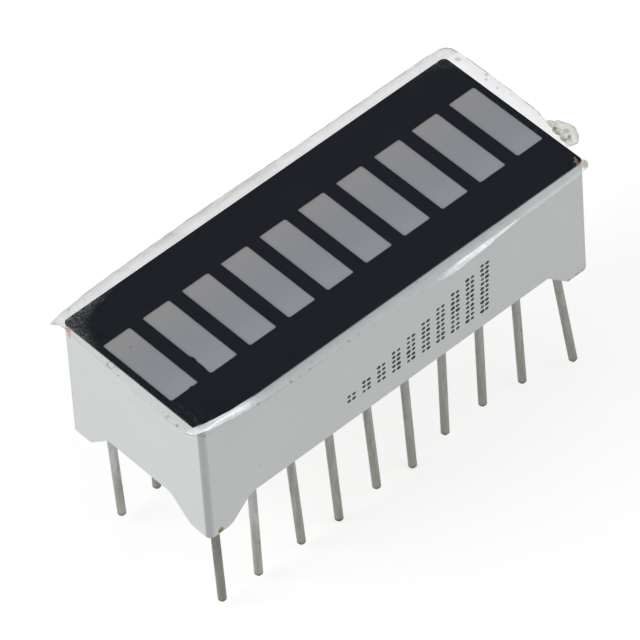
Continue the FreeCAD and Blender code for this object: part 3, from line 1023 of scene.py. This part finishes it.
@dataclass
class Pins:
    """Twenty tinned wire pins, of which a few are darker or brighter."""

    count: int = 20
    dark: tuple[int, ...] = (1, 16)
    bright: tuple[int, ...] = (2, 14, 20)

    def tone(self, number: int) -> WireTone:
        """How bright a pin is, by its number."""
        lighter = WireTone.BRIGHT if number in self.bright else WireTone.PLAIN
        return WireTone.DARK if number in self.dark else lighter

    def dress(self) -> None:
        """Finishes every pin."""
        finishes = {tone: TinnedWire(tone).material for tone in WireTone}
        for number in range(1, self.count + 1):
            dress_node(f"pin_{number:02d}", finishes[self.tone(number)])


@dataclass
class Back:
    """What closes the shell from behind: board, dies, bond wires and poured resin."""

    level: float = 1.30
    pin_radius: float = 0.23
    creep: float = 0.26
    climb: float = 0.22
    hidden: float = 0.03
    overlap: float = 0.004
    root: float = 1.25
    bow: float = 2.4
    uneven: float = 0.18
    rings: int = 7
    around: int = 28

    def dress(self) -> None:
        """Finishes the board and what sits on it."""
        self.resin = PouredResin().material
        dress_node("back_fill", self.resin)
        dress_node("circuit_board", BoardLaminate().material)
        die, gold = DIE_CRYSTAL.make(), GOLD_WIRE.make()
        for number in range(1, BARS + 1):
            dress_node(f"led_die_{number:02d}", die)
            dress_node(f"bond_wire_{number:02d}", gold)

    def section(self) -> list[Pair]:
        """Section of the resin round a pin: what sits in the fill, its curve, and what sits in the pin.

        Returns:
            How far out from the pin's middle and how far below the fill each corner lies.
        """
        inside = self.pin_radius - self.hidden
        curve = [(inside, -self.hidden)]
        for ring in reversed(range(self.rings)):
            share = ring / (self.rings - 1)
            drop = self.climb * (1 - share) ** self.bow - self.overlap * share
            curve.append((self.pin_radius - self.overlap + self.creep * share, drop))
        return [*curve, (inside, self.root * self.climb)]

    def build_menisci(self) -> None:
        """Builds the rings of resin that climb each pin a little."""
        points: Points = []
        faces: Faces = []
        section = self.section()
        for side in (-1, 1):
            for index in range(BARS):
                x, y = (index - (BARS - 1) / 2) * PITCH, side * ROW_SPACING / 2
                faces.extend(join_rings(len(points), len(section), self.around, closed=True))
                for out, drop in section:
                    for along, across in circle(self.around):
                        swell = 1 + self.uneven * ripple(x + along, side + across, 0.8, 5.0)
                        z = self.level - drop * swell
                        points.append(Vector((x + along * out, y + across * out, z)))
        make_piece("resin_menisci", points, faces, Slot.BACK, self.resin)


@dataclass
class WallPrint:
    """Dotted level scale jetted onto the near wall: ten columns, each a step taller."""

    shell: Shell
    columns: int = 10
    column_step: float = 0.99
    dots_wide: int = 2
    dot_step: float = 0.32
    least_rows: int = 2
    half_dot: Pair = (0.135, 0.105)
    corners: int = 14
    start: Pair = (-3.40, 2.70)
    slope: float = -0.045
    ink: float = 0.014
    scatter: Pair = (0.025, 0.030)
    size_spread: float = 0.35
    ragged: float = 0.20
    rings: tuple[Pair, ...] = ((0.72, 0.8), (1.0, -0.2))

    def places(self) -> list[Pair]:
        """Places of the dots.

        Returns:
            The place along the wall and the height of each, in mm.
        """
        found = []
        for column in range(self.columns):
            for row in range(column + self.least_rows):
                for dot in range(self.dots_wide):
                    u = column * self.column_step + dot * self.dot_step
                    v = row * self.dot_step
                    u += self.scatter[0] * ripple(u, v, 3.1, 1.0)
                    v += self.scatter[1] * ripple(u, v, 2.7, 2.0)
                    found.append((self.start[0] + u - v * self.slope, self.start[1] + v + u * self.slope))
        return found

    def on_wall(self, x: float, z: float, rise: float) -> Vector:
        """Point over the near wall, at a share of the ink's thickness."""
        return Vector((x, self.shell.near_wall(z) - self.ink * rise, z))

    def build(self) -> None:
        """Builds the dots as low drops of ink."""
        points: Points = []
        faces: Faces = []
        for x, z in self.places():
            size = 1 + self.size_spread * ripple(x, z, 4.3, 7.0)
            rings = []
            for out, rise in self.rings:
                ring = []
                for along, up in circle(self.corners):
                    swell = size * out * (1 + self.ragged * ripple(x * 5 + along, z * 5 + up, 1.3))
                    edge = x + swell * self.half_dot[0] * along, z + swell * self.half_dot[1] * up
                    ring.append(self.on_wall(*edge, rise))
                rings.append(ring)
            add_drop(points, faces, self.on_wall(x, z, 1.0), rings)
        make_piece("wall_dots", points, faces, Slot.PRINT, PRINTED_INK.make())


@dataclass
class Film:
    """Clear film over the face: oversize, curled along the near side and torn at one corner.

    Its tables hold pairs of a place in mm and what the film does there. The lip's rows hold a place along
    the part, how far the lip reaches past the face's edge, and how far it drops. The bubble's numbers are
    its place and its radius.
    """

    node: str = "cover_film"
    thickness: float = 0.05
    clearance: float = 0.006
    along: int = 300
    across: int = 96
    lip_rows: int = 20
    first_x: float = -12.9
    length: float = 26.0
    curl: float = 1.7
    free_length: float = 12.68
    lip: tuple[Triple, ...] = (
        (-12.9, -0.09, 0.02), (-12.5, 0.02, 0.07), (-12.14, 0.07, 0.12), (-11.3, 0.13, 0.23),
        (-10.64, 0.21, 0.28), (-9.96, 0.27, 0.31), (-9.29, 0.34, 0.33), (-8.29, 0.39, 0.33),
        (-6.26, 0.46, 0.32), (-3.3, 0.47, 0.31), (-0.72, 0.52, 0.31), (1.16, 0.63, 0.32), (2.8, 0.7, 0.33),
        (3.6, 0.71, 0.35), (4.4, 0.67, 0.35), (5.4, 0.61, 0.33), (6.5, 0.53, 0.31), (7.6, 0.45, 0.28),
        (8.1, 0.46, 0.28), (9.0, 0.51, 0.28), (10.5, 0.49, 0.27), (11.1, 0.45, 0.25), (11.6, 0.45, 0.24),
        (12.1, 0.42, 0.2), (12.52, 0.38, 0.14), (12.76, 0.34, 0.12), (12.92, 0.14, 0.09),
    )
    lift: tuple[Pair, ...] = (
        (-12.9, 0.55), (-12.61, 0.47), (-12.02, 0.29), (-11.41, 0.18), (-10.59, 0.07), (-9.2, 0.0),
    )
    # Strength of the painted highlight along the folded near corner.
    fold: tuple[Pair, ...] = (
        (-12.9, 1.0), (-11.6, 0.9), (-10.6, 0.62), (-9.5, 0.36), (-8.4, 0.16), (-6.8, 0.03),
    )
    # Where the painted highlight wedge starts across the lip.
    glint: tuple[Pair, ...] = (
        (1.6, 0.66), (3.1, 0.58), (4.2, 0.59), (4.9, 0.63), (5.4, 0.62), (5.9, 0.65), (6.5, 0.71),
        (7.0, 0.75), (7.6, 0.77), (8.1, 0.82),
    )
    far_edge: tuple[Pair, ...] = (
        (-13.14, 5.38), (-12.9, 5.42), (-12.12, 5.54), (-10.28, 5.68), (-8.61, 5.74), (-3.0, 5.82),
        (5.0, 5.7), (12.0, 5.68), (12.75, 5.62), (13.15, 5.5), (13.4, 5.28),
    )
    near_end: tuple[Pair, ...] = (
        (-5.1, -12.9), (-4.94, -13.0), (-4.65, -13.12), (-4.33, -13.2), (-3.87, -13.16), (-3.4, -13.22),
        (-2.9, -13.19), (-1.98, -13.12), (-0.96, -13.14), (0.35, -13.05), (1.08, -13.02), (3.0, -12.98),
        (4.56, -12.89), (4.95, -12.91), (5.4, -13.15),
    )
    far_end: tuple[Pair, ...] = (
        (-5.45, 12.52), (-5.36, 12.64), (-5.17, 12.73), (-4.98, 12.7), (-4.88, 12.6), (-4.82, 12.4),
        (-4.62, 12.39), (-4.26, 12.52), (-4.07, 12.64), (-3.7, 12.8), (-2.6, 13.06), (-1.81, 13.2),
        (-0.9, 13.42), (1.5, 13.52), (4.7, 13.49), (5.2, 13.38),
    )
    wad_middle: Pair = (13.28, -2.95)
    wad: tuple[Pair, ...] = (
        (13.2, -1.81), (13.47, -2.07), (13.78, -2.58), (13.88, -2.89), (13.72, -3.47), (13.55, -3.76),
        (13.22, -4.0), (12.97, -3.95), (12.8, -3.9), (12.86, -3.45), (12.98, -2.95), (13.06, -2.35),
    )
    wad_rings: int = 30
    wad_around: int = 96
    wad_rise: float = 0.03
    wad_height: float = 0.12
    wad_folds: float = 0.07
    wad_most: float = 0.26
    bubble: Triple = (-12.86, 1.22, 0.17)
    bubble_around: int = 40
    bubble_corners: int = 6
    bubble_radius: float = 0.018
    bubble_rise: float = 0.008
    bubble_stretch: float = 1.25

    def hinge(self, x: float) -> float:
        """Where the curl of the near side begins, as its y in mm."""
        return -HALF_WIDTH + level(self.lift, x)

    def height(self, x: float, y: float, out: float, reach: float) -> float:
        """Height of the film's underside.

        Args:
            x: place along the part in mm.
            y: place across it in mm.
            out: share of the way from the hinge to the lip's tip.
            reach: how far the lip reaches past the face's edge, in mm.

        Returns:
            Its z in mm.
        """
        z = TOP + self.clearance
        below = max(0.0, -HALF_WIDTH - 0.01 - y)
        if below > 0:
            drop = level(self.lip, x, 2) * (1 + 0.10 * ripple(x, 0.0, 0.8, 6.0))
            z -= drop * (below / max(reach, 0.05)) ** self.curl
        z += 0.06 * math.sin(math.pi * out) * smooth(x, -10.6, -12.4)
        beyond = max(0.0, y - HALF_WIDTH)
        z += beyond * (0.035 * ripple(x, y, 0.6, 2.0) - 0.10 * beyond)
        past_end = max(0.0, abs(x) - self.free_length)
        shifted = y + 0.020 * beyond * ripple(x, 0.0, 1.4, 3.0)
        return z + past_end * (0.05 * ripple(x, shifted, 0.7, 1.0) - 0.22 * past_end)

    def place(self, u: float, v: float) -> tuple[Vector, float]:
        """Point on the film's underside.

        Args:
            u: 0 at the near end, 1 at the far end.
            v: 0 at the lip's tip, 1 at the far side.

        Returns:
            The point in mm, and its share of the way from the hinge to the lip's tip.
        """
        lip_share = self.lip_rows / self.across
        x = self.first_x + self.length * u
        out = max(0.0, 1 - v / lip_share)
        for _ in range(2):
            hinge = self.hinge(x)
            reach = level(self.lip, x) * (1 + 0.05 * ripple(x, 0.0, 0.55, 4.0))
            if out > 0:
                y = hinge - (hinge + HALF_WIDTH + reach) * out
            else:
                y = hinge + (level(self.far_edge, x) - hinge) * (v - lip_share) / (1 - lip_share)
            near_x = level(self.near_end, y)
            x = near_x + (level(self.far_end, y) - near_x) * u
        x += 0.015 * ripple(y, 0.0, 2.6, 8.0) * (1 - u) ** 8 + 0.03 * ripple(y, 0.0, 1.9, 9.0) * u**12
        z = self.height(x, y, out, reach)
        y += 0.020 * max(0.0, y - HALF_WIDTH) * ripple(x, 0.0, 1.4, 3.0)
        return Vector((x, y, z)), out

    def crease(self, x: float, out: float) -> float:
        """How strong the painted highlight on the lip is.

        Args:
            x: place along the part in mm.
            out: share of the way from the hinge to the lip's tip.

        Returns:
            0 for plain film, 1 for a full painted highlight.
        """
        streak = 0.85 + 0.30 * ripple(0.35 * x, 7.0 * out, 1.0, 2.0)
        # Painted highlight along the folded near corner.
        corner = level(self.fold, x) * smooth(out, 0.02, 0.16) * smooth(out, 1.02, 0.94)
        corner *= 1 - 0.35 * smooth(abs(out - 0.38), 0.22, 0.04) * smooth(x, -9.4, -11.5)
        corner *= 1 - 0.95 * smooth(x, -11.5, -12.0) * smooth(x, -12.7, -12.5) * smooth(out, 0.82, 0.60)
        start = level(self.glint, x)
        # Painted highlight as a wedge on the lip's right-hand part.
        wedge = smooth(x, 1.6, 4.0) * smooth(x, 8.2, 7.5) * smooth(out, start - 0.06, start + 0.12)
        wedge *= 0.86 - 0.28 * smooth(x, 5.2, 6.3) + 0.12 * smooth(out, start + 0.10, 0.95)
        # Painted highlight as a line along the rim, and a faint one at the hinge.
        rim = 0.30 * smooth(x, 7.6, 8.6) * smooth(out, 0.58, 0.78) * smooth(out, 1.0, 0.86)
        hinge = 0.10 * smooth(out, 0.05, 0.15) * smooth(out, 0.8, 0.3)
        return max(corner * streak, wedge * streak, rim, hinge)

    def cover(self, x: float, out: float) -> float:
        """How well the folded lip hides what is under it."""
        thinner = 1 - 0.5 * smooth(out, 0.7, 1.0) * smooth(x, -12.0, -10.6)
        return 0.93 * smooth(x, -8.8, -10.0) * smooth(out, 0.0, 0.05) * thinner

    def milk(self, point: Vector, out: float) -> float:
        """How milky the film is.

        Args:
            point: place in mm.
            out: share of the way from the hinge to the lip's tip.

        Returns:
            The opacity of one side of the film.
        """
        x, y = point.x, point.y
        far = smooth(y, HALF_WIDTH - 0.35, HALF_WIDTH - 0.15)
        ends = smooth(abs(x), HALF_LENGTH - 0.30, HALF_LENGTH - 0.12)
        hanging = far * (0.46 - 0.04 * smooth(x, -8.0, 6.0))
        hanging = max(hanging, ends * (0.23 if x > 0 else 0.09 + 0.24 * smooth(y, 4.7, 5.1)))
        hanging *= 0.86 + 0.06 * self.outer(point) * smooth(x, 6.0, 0.0)
        lip = smooth(-y, HALF_WIDTH - 0.30, HALF_WIDTH - 0.12)
        lip *= 0.20 + 0.24 * smooth(x, 0.0, 3.0) * smooth(out, 0.02, 0.45) * smooth(x, 9.5, 4.5)
        tab = 0.42 * smooth(x, 12.0, 12.5) * smooth(y, -4.85, -4.98)
        return max(hanging, lip, tab)

    def outer(self, point: Vector) -> float:
        """How far out over the edge a point lies.

        Args:
            point: place in mm.

        Returns:
            0 near the body, 1 at the film's own edge.
        """
        side = smooth(point.y, HALF_WIDTH + 0.22, HALF_WIDTH + 0.55)
        far_end = smooth(point.x, HALF_LENGTH + 0.28, HALF_LENGTH + 0.62)
        near_end = smooth(-point.x, HALF_LENGTH + 0.02, HALF_LENGTH + 0.3)
        return max(side, far_end, near_end)

    def build_sheet(self) -> Object:
        """Builds the sheet with its lip.

        Returns:
            The new object.
        """
        columns, row = self.along + 1, self.across + 1
        placed = [self.place(i / self.along, j / self.across) for i in range(columns) for j in range(row)]
        corners = [i * row + j for i in range(self.along) for j in range(self.across)]
        faces = [[corner, corner + row, corner + row + 1, corner + 1] for corner in corners]
        points = [point for point, _ in placed]
        finishes = ClearFilm().material, FilmEdge().material
        piece = make_piece("film_sheet", points, faces, Slot.FILM, *finishes)
        paint_points(piece, "milk", [self.milk(point, out) for point, out in placed])
        # How much painted highlight each point of the lip has.
        paint_points(piece, "crease", [self.crease(point.x, out) for point, out in placed])
        paint_points(piece, "cover", [self.cover(point.x, out) for point, out in placed])
        paint_points(piece, "outer", [self.outer(point) for point in points])
        thick = piece.modifiers.new("thickness", "SOLIDIFY")
        thick.thickness = self.thickness * MM
        thick.offset = 1.0
        thick.material_offset_rim = 1
        thick.use_even_offset = True
        return piece

    def build_wad(self) -> Object:
        """Builds the crumpled corner: a lump inside its outline, with folds that run across it.

        Returns:
            The new object.
        """
        middle, last_row = Vector(self.wad_middle), 2 * self.wad_rings
        spokes = [Vector(place) - middle for place in self.wad]
        outline = sorted((math.atan2(spoke.y, spoke.x), spoke.length) for spoke in spokes)
        (low, first_reach), (high, last_reach) = outline[0], outline[-1]
        outline = [(high - FULL_TURN, last_reach), *outline, (low + FULL_TURN, first_reach)]
        points: Points = []
        rims: list[float] = []
        for row in range(last_row + 1):
            side = 1 if row <= self.wad_rings else -1
            share = math.sin(0.5 * math.pi * row / self.wad_rings)
            dome = math.sqrt(max(0.0, 1 - share * share))
            for step in range(1 if row in (0, last_row) else self.wad_around):
                turn = FULL_TURN * step / self.wad_around - math.pi
                way = Vector((math.cos(turn), math.sin(turn)))
                reach = level(outline, turn) * share * (1 + 0.05 * ripple(way.x, way.y, 2.2, 1.0))
                x, y = middle + way * reach
                folds = 1 - 2.4 * abs(ripple(x + 0.6 * y, y - 0.4 * x, 1.5, 3.0))
                folds += 0.55 * (1 - 2.4 * abs(ripple(x, y, 3.3, 7.0)))
                height = side * self.wad_height * dome + self.wad_folds * folds * (0.25 + 0.75 * dome)
                points.append(Vector((x, y, TOP + self.wad_rise + min(height, self.wad_most))))
                rims.append(smooth(share, 0.90, 0.99))
        last = len(points) - 1
        faces = join_rings(1, last_row - 1, self.wad_around)
        for step in range(self.wad_around):
            turned = (step + 1) % self.wad_around
            faces.append([0, 1 + step, 1 + turned])
            faces.append([last - self.wad_around + step, last, last - self.wad_around + turned])
        piece = make_piece("film_wad", points, faces, Slot.FILM, CrumpledFilm().material)
        paint_points(piece, "rim", rims)
        return piece

    def build_bubble(self) -> Object:
        """Builds the rim of the small bubble at the near end as a fine raised ring.

        Returns:
            The new object.
        """
        x, y, radius = self.bubble
        z = TOP + self.thickness + self.bubble_rise
        points: Points = []
        for along, across in circle(self.bubble_around):
            wide = radius * (1 + 0.12 * ripple(along, across, 1.2, 6.0))
            for out, up in circle(self.bubble_corners):
                reach = wide + self.bubble_radius * out
                place = x + along * reach, y + across * reach * self.bubble_stretch
                points.append(Vector((*place, z + self.bubble_radius * up)))
        faces = join_rings(0, self.bubble_around, self.bubble_corners, closed=True)
        return make_piece("film_bubble", points, faces, Slot.FILM, bpy.data.materials["film_edge"])

    def build(self) -> None:
        """Builds the film in place of its CAD node."""
        for piece in (self.build_sheet(), self.build_wad(), self.build_bubble()):
            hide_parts(self.node)


# Studio


@dataclass
class Studio:
    """Plain white floor, soft lights and the camera."""

    floor_level: float = -7.30
    floor_half: float = 600.0
    floor_glow: float = 0.70
    floor_tints: tuple[Triple, ...] = ((0.86, 0.86, 0.86), (0.88, 0.88, 0.88), (0.45, 0.45, 0.45))
    sky: float = 0.44
    camera_place: Triple = (-134.79, -163.15, 235.89)
    camera_turn: Triple = (42.071, 2.683, -42.385)
    lens: float = 358.48
    target: Triple = (0.0, 0.0, 3.0)
    lamps: tuple[tuple[str, Triple, float, float], ...] = (
        ("key", (-290.0, 110.0, 190.0), 240.0, 0.57),
        ("fill", (150.0, -260.0, 220.0), 300.0, 0.24),
    )

    def build_floor(self) -> None:
        """Builds the floor: white, with a little light of its own for the camera."""
        half, z = self.floor_half * MM, self.floor_level * MM
        mesh = bpy.data.meshes.new("floor")
        corners = [(-half, -half, z), (half, -half, z), (half, half, z), (-half, half, z)]
        mesh.from_pydata(corners, [], [[0, 1, 2, 3]])
        surface = Surface("white_floor", Roughness=0.9, Specular_IOR_Level=0.1, Emission_Color=WHITE)
        seen = surface.seen()
        first, second, under = self.floor_tints
        surface.set("Base Color", surface.blend(seen, surface.varied(first, second, 0.02), under))
        surface.set("Emission Strength", surface.times(seen, self.floor_glow))
        mesh.materials.append(surface.material)
        floor = add_object("floor", mesh)

    def build_sky(self) -> None:
        """Builds the white surroundings: plain level for the part, white where they are seen."""
        world = bpy.data.worlds.new("studio")
        bpy.context.scene.world = world
        world.use_nodes = True
        graph = Graph(world.node_tree)
        background = world.node_tree.nodes["Background"]
        graph.feed(background.inputs["Color"], WHITE)
        graph.feed(background.inputs["Strength"], graph.ramp(graph.seen(), 0.0, 1.0, self.sky, 1.0))

    def build_lamp(self, name: str, place: Triple, size: float, power: float) -> None:
        """Builds a soft lamp that looks at the part.

        Args:
            name: the lamp's name.
            place: its place in mm.
            size: its side in mm.
            power: its power in watts.
        """
        light = bpy.data.lights.new(name, "AREA")
        light.energy = power
        light.size = size * MM
        lamp = add_object(name, light)
        lamp.location = Vector(place) * MM
        lamp.rotation_euler = (Vector(self.target) * MM - lamp.location).to_track_quat("-Z", "Y").to_euler()

    def build_camera(self) -> None:
        """Builds the camera at the photograph's place."""
        data = bpy.data.cameras.new("camera")
        data.lens = self.lens
        data.sensor_width = 36.0
        data.clip_start = 0.01
        data.clip_end = 20.0
        camera = add_object("camera", data)
        camera.location = Vector(self.camera_place) * MM
        camera.rotation_euler = Euler([math.radians(turn) for turn in self.camera_turn], "XYZ")
        bpy.context.scene.camera = camera

    def build(self) -> None:
        """Builds everything around the part."""
        bpy.context.scene.view_settings.view_transform = "Standard"
        self.build_camera()
        self.build_floor()
        self.build_sky()
        for lamp in self.lamps:
            self.build_lamp(*lamp)


def main() -> None:
    """Builds the scene."""
    logging.basicConfig(level=logging.INFO, format="%(message)s")
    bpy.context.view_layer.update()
    for build in (build_stain, build_specks, build_mottle, build_grain, build_worn_edges, build_fine_lines):
        build()
    Studio().build()
    shell, face, back = Shell(), Face(), Back()
    shell.dress()
    face.dress()
    face.build_nicks()
    Pins().dress()
    back.dress()
    back.build_menisci()
    WallPrint(shell).build()
    Film().build()


if __name__ == "__main__":
    main()
